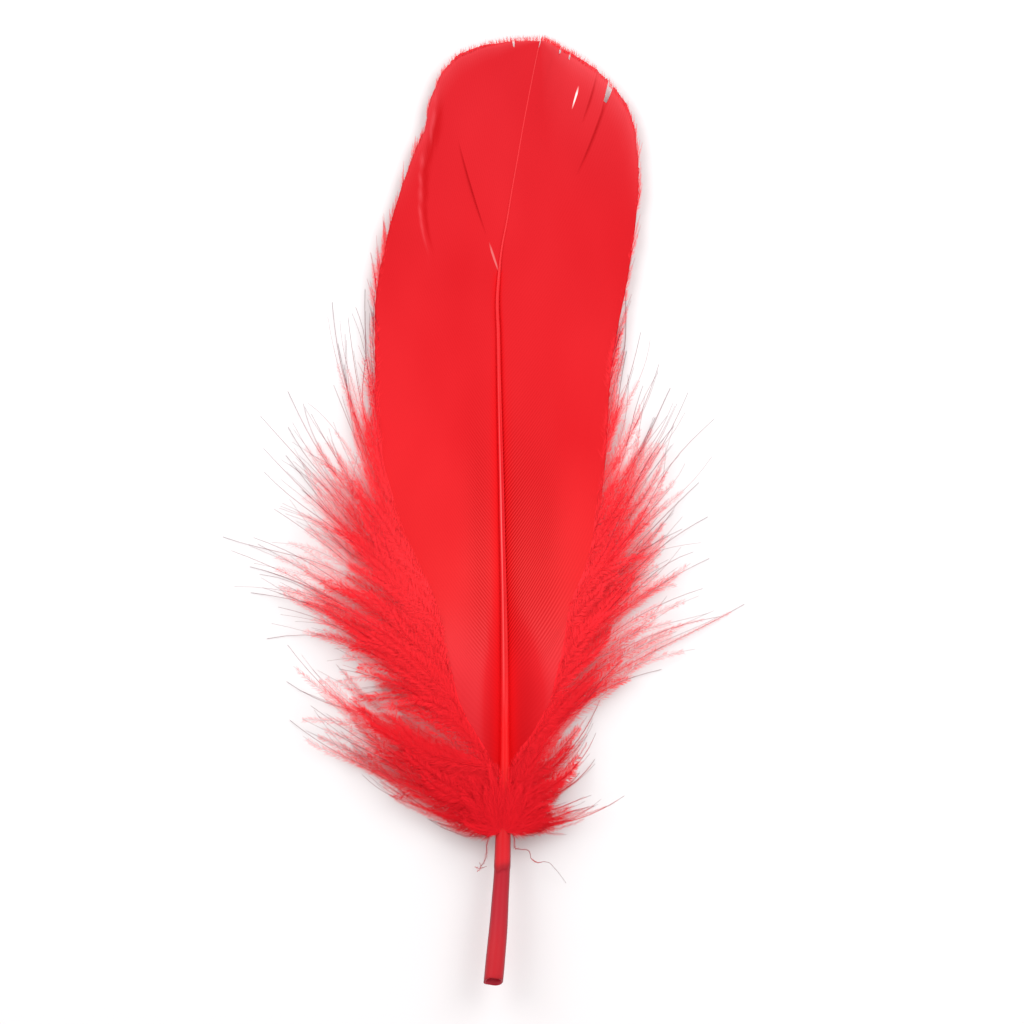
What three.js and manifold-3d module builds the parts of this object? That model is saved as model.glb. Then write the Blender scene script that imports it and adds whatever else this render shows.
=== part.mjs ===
// A red goose feather that lies with its hollow side up: a cut quill that runs on as a grooved
// shaft, a vane on each side of it with a few splits, and a skirt of downy locks round its foot.
// It grew as one piece, so it is one solid. Millimetres, X right, Y towards the tip, Z up. The
// origin is on the table, midway along the feather and midway across its down.

import * as THREE from "three";
import { mergeVertices } from "three/addons/utils/BufferGeometryUtils.js";
import Module from "manifold-3d";

// ---- Driving dimensions ----

// The shaft, as stops along Y from the cut end of the quill to the tip of the feather.
const TIP_Y = 80;
const CUT_Y = -79.6;
const SHAFT_START_Y = -82;
const SHAFT_X = [[-82, 1], [-76, 1.6], [-66, 2.4], [-55, 2.9], [-35, 3.2], [0, 2.7], [30, 2.1],
  [40, 2.2], [50, 3.7], [60, 5.4], [70, 7.2], [80, 9.2]];
const SHAFT_Z = [[-82, 7], [-55, 4.9], [-30, 3], [0, 1.35], [20, 0.6], [45, 0.6], [60, 0.85], [80, 2]];
const SHAFT_HALF_WIDTH = [[-82, 1.6], [-76, 1.65], [-64, 1.42], [-55, 1.3], [-42, 0.9], [-20, 0.6],
  [0, 0.45], [40, 0.3], [80, 0.16]];
const SHAFT_SIDES = 10;
const SHAFT_STEPS = 30;

// The groove along the upper face of the shaft, and the hollow of the cut quill.
const GROOVE_FROM_Y = -34;
const GROOVE_TO_Y = 22;
const GROOVE_DEPTH = 0.3;
const GROOVE_FADE = 8; // length over which the groove opens and closes
const BORE_RADIUS = 0.95;
const BORE_LENGTH = 12;
const BORE_SIDES = 12;
const BORE_CAP_STEPS = 4;
const CUT_SLANT = THREE.MathUtils.degToRad(24);
const QUILL_END = 8; // the last stretch of the quill, whose direction the cut and the bore follow
const CUT_BLOCK = 12;

// The vanes. A rib is a barb of the vane: Y of its root on the shaft, then X and Y of its end.
const LEFT_RIBS = [[-45, 0, -43.5], [-42, -2.7, -38.6], [-39, -5.3, -31.8], [-36, -7.2, -22.8],
  [-33, -9.4, -15], [-30, -13, -7], [-27, -17, 4.5], [-23, -18.4, 13], [-16, -18.8, 24],
  [-10, -18.8, 31], [-4, -18.6, 36.8], [6, -17.2, 44.5], [13, -15.5, 51.2], [20, -13.2, 58],
  [25, -11.8, 61.7], [29, -10.3, 65], [33, -9.8, 68.4], [37.5, -8.5, 72], [43, -6.5, 75.6],
  [50, -2.8, 78.2], [60, 2.2, 79.4], [70, 5.8, 79.8], [78.5, 8.8, 79.9]];
const RIGHT_RIBS = [[-45.5, 5, -44], [-43, 7.5, -40.6], [-41, 10.2, -36], [-39, 12.4, -28.6],
  [-36.5, 14, -21.9], [-34, 15.2, -15.4], [-31, 17.6, -9], [-28, 19.3, 0], [-22.5, 20.6, 13.5],
  [-16, 21.1, 22.3], [-9, 22.2, 29.9], [-3, 23.7, 37.6], [3, 24.8, 44.4], [9.5, 25.6, 51.2],
  [15, 25.9, 56.4], [20, 25.6, 61.6], [26, 24.7, 66.7], [30.5, 23.1, 70], [36, 20.3, 73.4],
  [44, 16.6, 76.4], [54, 13.2, 78.3], [66, 10.9, 79.3], [78.5, 9.6, 79.9]];
const RIB_BOW = 0.088; // how far a rib bends outwards, as a share of its length
const RIB_STEPS = 6;
const VANE_THICKNESS = 0.7;
const VANE_OVERLAP = 0.3; // how far each vane reaches past the middle of the shaft
const VANE_BELOW_SHAFT = 0.7; // how far the vane sits below the middle of the shaft, in half widths
const VANE_SEAT = 0.1; // and by how much more, in millimetres
const VANE_DISH = 1.7; // how high the edge of a vane stands above its root
const VANE_REACH = 22; // distance from the shaft at which it does
const VANE_LEVEL = 1.3; // share of that distance past which the vane rises no further

// Splits between barbs: both ends in X and Y, the width in the middle, and the bow.
const SPLITS = [
  { from: [1.3, 41.6], to: [-5.6, 68.4], width: 0.6, bow: 0.06 },
  { from: [-10.4, 46], to: [-10.9, 63], width: 0.35, bow: 0.04 },
  { from: [18.4, 59.6], to: [22.4, 73.5], width: 0.5, bow: -0.08 },
  { from: [15.9, 70.4], to: [16.6, 77], width: 0.6, bow: 0 },
  { from: [6.2, 77.6], to: [6.5, 81], width: 0.7, bow: 0 },
  { from: [11.4, 75.8], to: [13.4, 79.5], width: 0.5, bow: 0 },
  { from: [-4.4, 73.2], to: [-6.6, 77], width: 0.5, bow: 0 },
];
const SPLIT_STEPS = 6;
const SPLIT_CUTTER_HEIGHT = 8;

// The downy locks, from the top of the skirt to its foot: X, Y and Z of the tip, the bow along
// the lock and its width. The roots are spread along the foot of each vane.
const LEFT_SKIRT = [[-17.2, 9], [-16.2, 2], [-12.6, -8], [-9, -16], [-7, -24], [-4.6, -32],
  [-1.6, -39], [1.6, -45], [2.3, -50], [2.4, -54]];
const LEFT_LOCKS = [
  [-18.9, 39.5, 1.8, 0.05, 1.1], [-20.6, 37.7, 0.03, 0.07, 1.4], [-22, 34.6, 2.6, 0.08, 1.4],
  [-26.3, 35.5, 0.03, 0.09, 1.3], [-23.5, 32.8, 3.4, 0.06, 1.8], [-25.3, 28.4, 0.03, 0.08, 2.7],
  [-25.9, 21.4, 2.8, 0.05, 3.3], [-33.9, 20.2, 0.03, 0.1, 1.6], [-29.6, 16.4, 4, 0.04, 3.6],
  [-38.4, 16, 2.2, 0.06, 1.8], [-33.5, 14.4, 0.03, 0.05, 3.9], [-37.7, 10.6, 3.4, 0.04, 3.3],
  [-34.3, 9.2, 0.03, 0.03, 4.5], [-37.2, 7, 4.4, -0.03, 3.9], [-31, 3.8, 0.03, -0.04, 5.1],
  [-36, 0.4, 3.2, -0.07, 4.5], [-43.5, -2.5, 0.03, -0.1, 3.3], [-39.4, -4.6, 4.6, -0.12, 4.8],
  [-43.4, -7, 2.4, -0.14, 3.6], [-40.3, -9.7, 0.03, -0.16, 4.8], [-37.4, -9.9, 5, -0.17, 4.8],
  [-39.6, -13.3, 0.03, -0.18, 4.5], [-35.7, -17, 3.8, -0.2, 5.1], [-37.6, -22.4, 0.03, -0.34, 3.3],
  [-24.8, -26.6, 3, -0.08, 6.3], [-33.8, -23, 5, 0.14, 3.9], [-33.5, -28.2, 0.03, 0, 3.9],
  [-29.7, -33, 3.6, 0.1, 4.8], [-33.3, -35.5, 0.03, 0.14, 3.9], [-25.5, -37.4, 4.4, 0.06, 4.5],
  [-23.3, -40.5, 0.03, 0.16, 4.2], [-20.9, -44.5, 3, 0.22, 3.9], [-15, -47.6, 0.03, 0.18, 3.6],
  [-9.9, -52.2, 2.4, 0.14, 1.8],
];
const RIGHT_SKIRT = [[18.6, 9], [18.2, 2], [16.2, -8], [13.6, -16], [12, -24], [9.6, -32],
  [7, -39], [4.6, -45], [3.6, -50], [3.4, -54]];
const RIGHT_LOCKS = [
  [24.4, 37.4, 0.03, 0.05, 1], [26.2, 30.3, 2.4, 0.06, 1.4], [24, 27.2, 0.03, 0.05, 2.7],
  [29.4, 25, 3, 0.07, 1.4], [31.8, 20.6, 0.03, 0.07, 1.6], [27.4, 20.9, 4, 0.04, 3],
  [34.3, 20.2, 2.4, 0.06, 1.4], [29.6, 15.5, 0.03, 0.03, 3.9], [31.8, 14.5, 3.6, 0.04, 3.9],
  [38.4, 16, 1.8, 0.06, 1.6], [31, 4, 4.4, -0.05, 4.8], [36.2, 4.8, 0.03, -0.04, 3.6],
  [32.8, -2.7, 2.8, -0.1, 5.4], [38.4, -1.7, 0.03, -0.08, 3.3], [35.7, -7.6, 4.6, -0.15, 5.1],
  [37.9, -8, 0.03, -0.14, 3.9], [36.7, -13.1, 3.2, -0.2, 4.5], [43.5, -15.3, 0.03, -0.22, 2.7],
  [39.6, -17.7, 2.6, -0.24, 3.6], [29.8, -26.9, 0.03, -0.3, 1.8], [22.6, -25.4, 4.2, -0.24, 5.4],
  [19.4, -32, 0.03, 0.14, 3.3], [18.5, -37.4, 3.4, 0.14, 3.3], [18.5, -42.2, 0.03, 0.14, 3.6],
  [17.9, -48.3, 3.6, 0.05, 3.6], [18.5, -50, 0.03, 0.05, 3], [23.5, -48.3, 2.4, 0.12, 1.6],
  [15, -52.2, 0.03, 0.04, 1.8],
];
const LOCK_SIDES = 5;
const LOCK_STEPS = 5;
const LOCK_FLATNESS = 0.5; // height of a lock as a share of its width
const LOCK_MIDDLE = [0.3, 0.9]; // height of its middle, as shares of those of its root and its tip
const LOCK_TIP_WIDTH = 0.22;
const LOCK_ROOT_SWELL = 0.25; // how far into its swell a lock starts, so it is fullest a third along
const LOCK_ROOT_LIFT = 0.4; // least height of its root, in heights of the lock

// Two loose barbs at the foot of the down: root, middle and tip, each in X, Y and Z.
const STRAY_BARBS = [
  [[2, -53.2, 5], [-0.4, -57.4, 5.2], [-0.9, -60.2, 4]],
  [[3.8, -53.2, 5], [6.2, -60.6, 4.6], [13.6, -63.2, 1.2]],
];
const STRAY_WIDTH = 0.5;

// Points closer than the weld are one, and facets smaller than the last size, which the joins
// leave behind, are merged into their neighbours.
const WELD = 1e-4;
const SMALLEST_FACET = 0.02;

// The surface it lies on, whose top is at Z = 0: nothing of the feather goes below it.
const TABLE_SIZE = 200;
const TABLE_THICKNESS = 20;

const feather = new THREE.MeshStandardMaterial({ color: 0xe81f2d, roughness: 0.6, metalness: 0 });

const wasm = await Module();
wasm.setup();

// ---- Curves and solids ----

// A smooth function through the stops [position, value], which run upwards in position.
function profile(stops) {
  const slope = (i) => {
    const before = stops[Math.max(i - 1, 0)];
    const after = stops[Math.min(i + 1, stops.length - 1)];
    return (after[1] - before[1]) / (after[0] - before[0]);
  };
  return (position) => {
    const last = stops.length - 2;
    const next = stops.findIndex((stop) => stop[0] > position);
    const i = next < 0 ? last : Math.min(Math.max(next - 1, 0), last);
    const span = stops[i + 1][0] - stops[i][0];
    const t = THREE.MathUtils.clamp((position - stops[i][0]) / span, 0, 1);
    const ease = t * t * (3 - 2 * t);
    const start = stops[i][1] + slope(i) * span * t;
    const end = stops[i + 1][1] - slope(i + 1) * span * (1 - t);
    return THREE.MathUtils.lerp(start, end, ease);
  };
}

const shaftX = profile(SHAFT_X);
const shaftZ = profile(SHAFT_Z);
const shaftHalfWidth = profile(SHAFT_HALF_WIDTH);

// The middle of the vane's thickness, which is a shallow dish round the shaft.
function vaneZ(x, y) {
  const reach = Math.abs(x - shaftX(y)) / VANE_REACH;
  const root = shaftZ(y) - VANE_SEAT - VANE_BELOW_SHAFT * shaftHalfWidth(y);
  return root + VANE_DISH * Math.min(reach, VANE_LEVEL) ** 2;
}

// A curve in the plane from one point to another that swings out to its right by the bow.
function bowedCurve([fromX, fromY], [toX, toY], bow) {
  const middle = new THREE.Vector2(
    (fromX + toX) / 2 + bow * (toY - fromY),
    (fromY + toY) / 2 - bow * (toX - fromX),
  );
  return new THREE.QuadraticBezierCurve(
    new THREE.Vector2(fromX, fromY),
    middle,
    new THREE.Vector2(toX, toY),
  );
}

function solid(geometry) {
  const bare = geometry.clone();
  bare.deleteAttribute("normal");
  bare.deleteAttribute("uv");
  const merged = mergeVertices(bare, WELD);
  return new wasm.Manifold(
    new wasm.Mesh({
      numProp: 3,
      vertProperties: merged.attributes.position.array,
      triVerts: new Uint32Array(merged.index.array),
    }),
  );
}

// Moves each vertex of a geometry to the point that the function returns for it.
function shaped(geometry, place) {
  const position = geometry.attributes.position;
  for (let i = 0; i < position.count; i += 1) {
    const point = place(position.getX(i), position.getY(i), position.getZ(i));
    position.setXYZ(i, ...point);
  }
  return solid(geometry);
}

// ---- Shaft and quill ----

// A cylinder along Y whose sections follow the shaft. The vertex on its crest sinks to make the
// groove, which fades out at both ends.
function shaftSolid() {
  const length = TIP_Y - SHAFT_START_Y;
  const rod = new THREE.CylinderGeometry(1, 1, length, SHAFT_SIDES, SHAFT_STEPS);
  const besideCrest = Math.cos(Math.PI / SHAFT_SIDES);
  return shaped(rod, (sideways, along, upwards) => {
    const y = along + length / 2 + SHAFT_START_Y;
    const radius = shaftHalfWidth(y);
    const opening = THREE.MathUtils.smoothstep(y, GROOVE_FROM_Y, GROOVE_FROM_Y + GROOVE_FADE);
    const closing = 1 - THREE.MathUtils.smoothstep(y, GROOVE_TO_Y - GROOVE_FADE, GROOVE_TO_Y);
    const groove = upwards > besideCrest ? GROOVE_DEPTH * opening * closing : 0;
    return [shaftX(y) + sideways * radius, y, shaftZ(y) + upwards * radius - groove];
  });
}

// The slanting cut at the end of the quill, and the hollow behind it.
function quillCut() {
  const lean = Math.atan2(shaftX(CUT_Y + QUILL_END) - shaftX(CUT_Y), QUILL_END);
  const rise = Math.atan2(shaftZ(CUT_Y) - shaftZ(CUT_Y + QUILL_END), QUILL_END);
  const end = new THREE.Group();
  end.position.set(shaftX(CUT_Y), CUT_Y, shaftZ(CUT_Y));
  end.rotation.set(-rise, 0, -lean);

  const knife = new THREE.Group();
  knife.position.z = -shaftHalfWidth(CUT_Y);
  knife.rotation.x = -CUT_SLANT;
  const waste = new THREE.Mesh(new THREE.BoxGeometry(CUT_BLOCK, CUT_BLOCK, CUT_BLOCK));
  waste.position.set(0, -CUT_BLOCK / 2, 0);
  knife.add(waste);

  const capsule = new THREE.CapsuleGeometry(BORE_RADIUS, BORE_LENGTH, BORE_CAP_STEPS, BORE_SIDES);
  const bore = new THREE.Mesh(capsule);
  end.add(knife, bore);
  end.updateMatrixWorld(true);
  const cuts = [waste, bore].map((mesh) => solid(mesh.geometry.applyMatrix4(mesh.matrixWorld)));
  return cuts[0].add(cuts[1]);
}

// ---- Vanes ----

// A thin sheet whose rows are ribs. A rib bows out from the shaft and bends up to the edge.
function vaneSolid(ribs, side) {
  const rows = ribs.length - 1;
  const sheet = new THREE.BoxGeometry(1, rows, 1, RIB_STEPS, rows, 1);
  return shaped(sheet, (across, along, upwards) => {
    const [rootY, edgeX, edgeY] = ribs[Math.round(along + rows / 2)];
    const rootX = shaftX(rootY) - side * VANE_OVERLAP;
    const rib = bowedCurve([rootX, rootY], [edgeX, edgeY], side * RIB_BOW);
    const { x, y } = rib.getPoint(side > 0 ? 0.5 + across : 0.5 - across);
    return [x, y, vaneZ(x, y) + upwards * VANE_THICKNESS];
  });
}

// A slender leaf that stands through the vane and parts it where barbs have come unhooked.
function splitCutter({ from, to, width, bow }) {
  const line = bowedCurve(from, to, bow);
  const stations = Array.from({ length: SPLIT_STEPS + 1 }, (_, i) => i / SPLIT_STEPS);
  const offset = (t, way) => {
    const { x, y } = line.getPoint(t);
    const { x: alongX, y: alongY } = line.getTangent(t);
    const half = (way * width * Math.sin(Math.PI * t)) / 2;
    return new THREE.Vector2(x - alongY * half, y + alongX * half);
  };
  const rightSide = stations.map((t) => offset(t, -1));
  const leftSide = stations.slice(1, -1).reverse().map((t) => offset(t, 1));
  const outline = new THREE.Shape([...rightSide, ...leftSide]);
  const extrusion = { depth: SPLIT_CUTTER_HEIGHT, bevelEnabled: false };
  return solid(new THREE.ExtrudeGeometry(outline, extrusion));
}

// ---- Down ----

// A flat tapering rod round a curve: fullest a third of the way along and thin at its tip.
function lockSolid(curve, width) {
  const rod = new THREE.CylinderGeometry(1, 1, 1, LOCK_SIDES, LOCK_STEPS);
  return shaped(rod, (sideways, along, upwards) => {
    const t = along + 0.5;
    const swell = Math.sin(Math.PI * THREE.MathUtils.lerp(LOCK_ROOT_SWELL, 1, t));
    const half = (Math.max(width * swell, 0) + LOCK_TIP_WIDTH) / 2;
    const centre = curve.getPoint(t);
    const { x, y } = curve.getTangent(t);
    const level = Math.hypot(x, y);
    return [
      centre.x + (sideways * half * y) / level,
      centre.y - (sideways * half * x) / level,
      centre.z + upwards * half * LOCK_FLATNESS,
    ];
  });
}

function skirtLocks(locks, skirt, side) {
  const rootLine = new THREE.SplineCurve(skirt.map(([x, y]) => new THREE.Vector2(x, y)));
  return locks.map(([tipX, tipY, tipZ, bow, width], i) => {
    const root = rootLine.getPoint(i / (locks.length - 1));
    const rootZ = Math.max(vaneZ(root.x, root.y), width * LOCK_FLATNESS * LOCK_ROOT_LIFT);
    const flat = bowedCurve([root.x, root.y], [tipX, tipY], side * bow);
    const middleZ = LOCK_MIDDLE[0] * rootZ + LOCK_MIDDLE[1] * tipZ;
    const curve = new THREE.QuadraticBezierCurve3(
      new THREE.Vector3(root.x, root.y, rootZ),
      new THREE.Vector3(flat.v1.x, flat.v1.y, middleZ),
      new THREE.Vector3(tipX, tipY, tipZ),
    );
    return lockSolid(curve, width);
  });
}

function strayBarb(points) {
  const [root, middle, tip] = points.map((point) => new THREE.Vector3(...point));
  return lockSolid(new THREE.QuadraticBezierCurve3(root, middle, tip), STRAY_WIDTH);
}

// ---- The feather ----

const vanes = SPLITS.map(splitCutter).reduce(
  (whole, cutter) => whole.subtract(cutter),
  vaneSolid(LEFT_RIBS, -1).add(vaneSolid(RIGHT_RIBS, 1)),
);
const down = [
  ...skirtLocks(LEFT_LOCKS, LEFT_SKIRT, -1),
  ...skirtLocks(RIGHT_LOCKS, RIGHT_SKIRT, 1),
  ...STRAY_BARBS.map(strayBarb),
];
const slab = new THREE.BoxGeometry(TABLE_SIZE, TABLE_SIZE, TABLE_THICKNESS);
const table = solid(slab.translate(0, 0, -TABLE_THICKNESS / 2));
const grown = down
  .reduce((whole, lock) => whole.add(lock), vanes.add(shaftSolid()))
  .subtract(quillCut())
  .subtract(table)
  .asOriginal()
  .simplify(SMALLEST_FACET);

const { vertProperties, triVerts } = grown.getMesh();
const geometry = new THREE.BufferGeometry();
geometry.setAttribute("position", new THREE.BufferAttribute(vertProperties, 3));
geometry.setIndex(new THREE.BufferAttribute(triVerts, 1));
const mesh = new THREE.Mesh(geometry, feather);
mesh.name = "feather";

const part = new THREE.Group();
part.add(mesh);

export default part;
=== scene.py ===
"""A red goose feather that lies hollow side up on a pale table."""

import bpy
import numpy as np
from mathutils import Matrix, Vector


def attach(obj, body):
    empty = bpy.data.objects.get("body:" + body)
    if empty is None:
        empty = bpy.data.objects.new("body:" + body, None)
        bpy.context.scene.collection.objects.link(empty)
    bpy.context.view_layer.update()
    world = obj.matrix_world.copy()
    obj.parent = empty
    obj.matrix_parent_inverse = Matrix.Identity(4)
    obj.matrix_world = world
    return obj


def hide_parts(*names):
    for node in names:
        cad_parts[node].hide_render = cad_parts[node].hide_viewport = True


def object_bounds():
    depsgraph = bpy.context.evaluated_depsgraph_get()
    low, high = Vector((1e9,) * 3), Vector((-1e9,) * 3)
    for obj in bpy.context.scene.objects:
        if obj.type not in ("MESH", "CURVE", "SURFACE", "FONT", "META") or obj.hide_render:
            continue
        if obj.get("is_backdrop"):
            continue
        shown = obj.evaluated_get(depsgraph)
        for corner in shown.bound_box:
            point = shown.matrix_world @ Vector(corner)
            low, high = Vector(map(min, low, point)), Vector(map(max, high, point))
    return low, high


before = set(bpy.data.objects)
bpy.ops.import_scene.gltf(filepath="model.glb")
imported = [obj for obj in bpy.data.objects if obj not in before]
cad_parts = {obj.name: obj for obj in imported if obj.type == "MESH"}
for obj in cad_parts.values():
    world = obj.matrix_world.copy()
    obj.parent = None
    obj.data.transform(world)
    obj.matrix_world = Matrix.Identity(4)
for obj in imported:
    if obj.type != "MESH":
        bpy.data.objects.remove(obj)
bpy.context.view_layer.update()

# ---- Quill and shaft ----
# One tube of dyed keratin: a hollow quill that was cut aslant at its end, and a shaft that grows
# thinner towards the tip. A groove runs along its upper face, and a thin sheath, which ends in a
# torn edge, still covers the quill below the down.

# Sizes are in millimetres, with the tip of the feather at +Y. A list of pairs holds stops of Y
# and value along the feather.
MM = 0.001
TIP_Y = 80
FOOT_Y = -55
CUT_Y = -79.6
SHAFT_X = [(-82, 1), (-76, 1.6), (-66, 2.4), (-55, 2.9), (-35, 3.2), (0, 2.7), (30, 2.1)]
SHAFT_X += [(40, 2.2), (50, 3.7), (60, 5.4), (70, 7.2), (80, 9.2)]
SHAFT_Z = [(-82, 7), (-55, 4.9), (-30, 3), (0, 1.35), (20, 0.6), (45, 0.6), (60, 0.85), (80, 2)]
SHAFT_HALF_WIDTH = [(-82, 1.6), (-76, 1.65), (-64, 1.42), (-55, 1.3), (-42, 0.9), (-20, 0.6)]
SHAFT_HALF_WIDTH += [(0, 0.45), (38, 0.3), (44, 0.2), (79, 0.1)]
SHAFT_SINK = [(34, 0), (46, 0.2), (80, 0.12)]
SHAFT_SIDES = 36
SHAFT_TOP_Y = TIP_Y - 1.4

# Angles round the shaft are in radians, from its right side over its crest.
GROOVE = [(-36, 0), (-28, 0.2), (-10, 0.34), (10, 0.3), (24, 0)]
GROOVE_AT = 1.19
GROOVE_ANGLE = 0.36
# A painted highlight: a pale line along the shaft beside the groove. Its strength along Y, its angle
# and its width.
PAINTED_HIGHLIGHT = [(-34, 0), (-27, 0.2), (-12, 0.4), (-2, 0.7), (12, 0.3), (30, 0.08), (44, 0.1)]
PAINTED_HIGHLIGHT_AT = 1.83
PAINTED_HIGHLIGHT_ANGLE = 0.17

CUT_SLANT = np.tan(np.radians(24))
CUT_UNEVEN = 0.08
QUILL_RADIUS = 1.6
WALL = 0.32
HOLLOW_DEPTH = 11
HOLLOW_STEPS = 14
SHEATH_END_Y = -60.6
SHEATH_THICKNESS = 0.07
SHEATH_TEAR = 0.35
SHEATH_REACH = 4


def profile(stops):
    """A smooth curve through stops of position and value, as a function of position."""
    at, value = np.array(stops, float).T
    slope = np.diff(value) / np.diff(at)
    inner = (value[2:] - value[:-2]) / (at[2:] - at[:-2])
    slope = np.concatenate([slope[:1], inner, slope[-1:]])

    def curve(position):
        place = np.clip(position, at[0], at[-1])
        i = np.clip(np.searchsorted(at, place, side="right") - 1, 0, len(at) - 2)
        span = at[i + 1] - at[i]
        t = (place - at[i]) / span
        start = value[i] + slope[i] * span * t
        end = value[i + 1] - slope[i + 1] * span * (1 - t)
        return start + (end - start) * t * t * (3 - 2 * t)

    return curve


def rises(position, place, width):
    """A soft step, from 0 well before a place to 1 well past it."""
    return 1 / (1 + np.exp((place - position) / width))


def hump(position, place, width):
    """A soft hump, which is 1 at a place and fades on both sides."""
    return np.exp(-(((position - place) / width) ** 2))


def dye(red, green, blue):
    """A colour given as it looks, 0 to 255 a channel, in Blender's linear light."""
    seen = np.array((red, green, blue)) / 255
    light = np.where(seen <= 0.04045, seen / 12.92, ((seen + 0.055) / 1.055) ** 2.4)
    return (*light.tolist(), 1.0)


def new_finish(name, roughness, gloss):
    """A material with its node tree and its main shader."""
    material = bpy.data.materials.new(name)
    material.use_nodes = True
    tree = material.node_tree
    shader = tree.nodes["Principled BSDF"]
    shader.inputs["Roughness"].default_value = roughness
    shader.inputs["Specular IOR Level"].default_value = gloss
    return material, tree, shader


def shaded(tree, value, stops):
    """The colour that stops of value and colour give for a value."""
    ramp = tree.nodes.new("ShaderNodeValToRGB")
    elements = ramp.color_ramp.elements
    elements[0].position, elements[0].color = stops[0]
    elements[1].position, elements[1].color = stops[-1]
    for position, colour in stops[1:-1]:
        elements.new(position).color = colour
    tree.links.new(value, ramp.inputs["Fac"])
    return ramp.outputs["Color"]


def laid_over(tree, colour, other, share, blend="MIX"):
    """A colour with another over it. The other and its share are outputs or fixed values."""
    mix = tree.nodes.new("ShaderNodeMix")
    mix.data_type = "RGBA"
    mix.blend_type = blend
    for name, value in (("A", colour), ("B", other), ("Factor", share)):
        if isinstance(value, bpy.types.NodeSocket):
            tree.links.new(value, mix.inputs[name])
        else:
            mix.inputs[name].default_value = value
    return mix.outputs["Result"]


def add_bump(tree, shader, height, strength, distance):
    """Raises the surface by a height output, through the shader's normal."""
    bump = tree.nodes.new("ShaderNodeBump")
    bump.inputs["Strength"].default_value = strength
    bump.inputs["Distance"].default_value = distance
    tree.links.new(height, bump.inputs["Height"])
    tree.links.new(bump.outputs["Normal"], shader.inputs["Normal"])


def grown_noise(tree, scale, stretch, detail=4):
    """Noise in the feather's own coordinates, drawn out along an axis."""
    place = tree.nodes.new("ShaderNodeTexCoord")
    mapping = tree.nodes.new("ShaderNodeMapping")
    mapping.inputs["Scale"].default_value = stretch
    noise = tree.nodes.new("ShaderNodeTexNoise")
    noise.inputs["Scale"].default_value = scale
    noise.inputs["Detail"].default_value = detail
    tree.links.new(place.outputs["Object"], mapping.inputs["Vector"])
    tree.links.new(mapping.outputs["Vector"], noise.inputs["Vector"])
    return noise.outputs["Fac"]


def mark_value(tree, name):
    """The value that a mesh holds for each of its points under this name."""
    mark = tree.nodes.new("ShaderNodeAttribute")
    mark.attribute_type = "GEOMETRY"
    mark.attribute_name = name
    return mark.outputs["Fac"]


def add_piece(name, points, triangles, finish, marks):
    """Makes a mesh of points in millimetres, as part of the feather."""
    mesh = bpy.data.meshes.new(name)
    mesh.vertices.add(len(points))
    mesh.vertices.foreach_set("co", (points * MM).astype(np.float32).ravel())
    mesh.loops.add(triangles.size)
    mesh.loops.foreach_set("vertex_index", triangles.astype(np.int32).ravel())
    mesh.polygons.add(len(triangles))
    mesh.polygons.foreach_set("loop_start", np.arange(0, triangles.size, 3, dtype=np.int32))
    mesh.update(calc_edges=True)
    mesh.shade_smooth()
    for mark, values in marks.items():
        layer = mesh.attributes.new(mark, "FLOAT", "POINT")
        layer.data.foreach_set("value", values.astype(np.float32).ravel())
    mesh.materials.append(finish)
    piece = bpy.data.objects.new(name, mesh)
    bpy.context.collection.objects.link(piece)
    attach(piece, "root")
    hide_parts("feather")


def quads(corner, right, opposite, left):
    """Two triangles for each four-cornered face."""
    faces = np.stack([corner, right, opposite, corner, opposite, left], -1)
    return faces.reshape(-1, 3)


def ring_faces(rings, sides):
    """The faces between rings of points that lie one after another."""
    first = np.arange(rings - 1)[:, None] * sides
    here = first + np.arange(sides)
    following = first + (np.arange(sides) + 1) % sides
    return quads(here, following, following + sides, here + sides)


shaft_x = profile(SHAFT_X)
shaft_z = profile(SHAFT_Z)
shaft_half_width = profile(SHAFT_HALF_WIDTH)

# The rings lie closer together where the torn edge crosses them, and the lowest ones slant.
angle = np.arange(SHAFT_SIDES) * 2 * np.pi / SHAFT_SIDES
ring_y = np.concatenate([
    np.linspace(SHAFT_TOP_Y, SHEATH_END_Y + 2, 330),
    np.linspace(SHEATH_END_Y + 2, SHEATH_END_Y - 2, 60)[1:],
    np.linspace(SHEATH_END_Y - 2, CUT_Y, 60)[1:],
])
slant = np.sin(angle) * CUT_SLANT * QUILL_RADIUS + CUT_UNEVEN * np.sin(angle * 3 + 1)
slanting = np.clip((FOOT_Y - ring_y) / (FOOT_Y - CUT_Y), 0, 1) ** 3
shaft_y = ring_y[:, None] + slanting[:, None] * slant

torn_edge = SHEATH_END_Y + SHEATH_TEAR * (np.sin(angle * 2 + 0.6) + 0.5 * np.sin(angle * 5))
from_end = np.abs(shaft_y - SHEATH_END_Y)
sheath = SHEATH_THICKNESS * (rises(shaft_y, torn_edge, 0.06) - 0.5) * np.exp(-from_end / SHEATH_REACH)
outer = shaft_half_width(shaft_y) + sheath
groove = profile(GROOVE)(shaft_y) * hump(angle, GROOVE_AT, GROOVE_ANGLE)
height = outer * np.sin(angle) - groove - profile(SHAFT_SINK)(shaft_y)
outside = np.stack([shaft_x(shaft_y) + outer * np.cos(angle), shaft_y, shaft_z(shaft_y) + height], -1)

depth = np.linspace(0, 1, HOLLOW_STEPS)[:, None]
hollow_y = shaft_y[-1] + depth * HOLLOW_DEPTH
bore = (shaft_half_width(hollow_y) - WALL) * np.sqrt(1 - depth**4)
inside = np.stack([
    shaft_x(hollow_y) + bore * np.cos(angle),
    hollow_y,
    shaft_z(hollow_y) + bore * np.sin(angle),
], -1)

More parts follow.
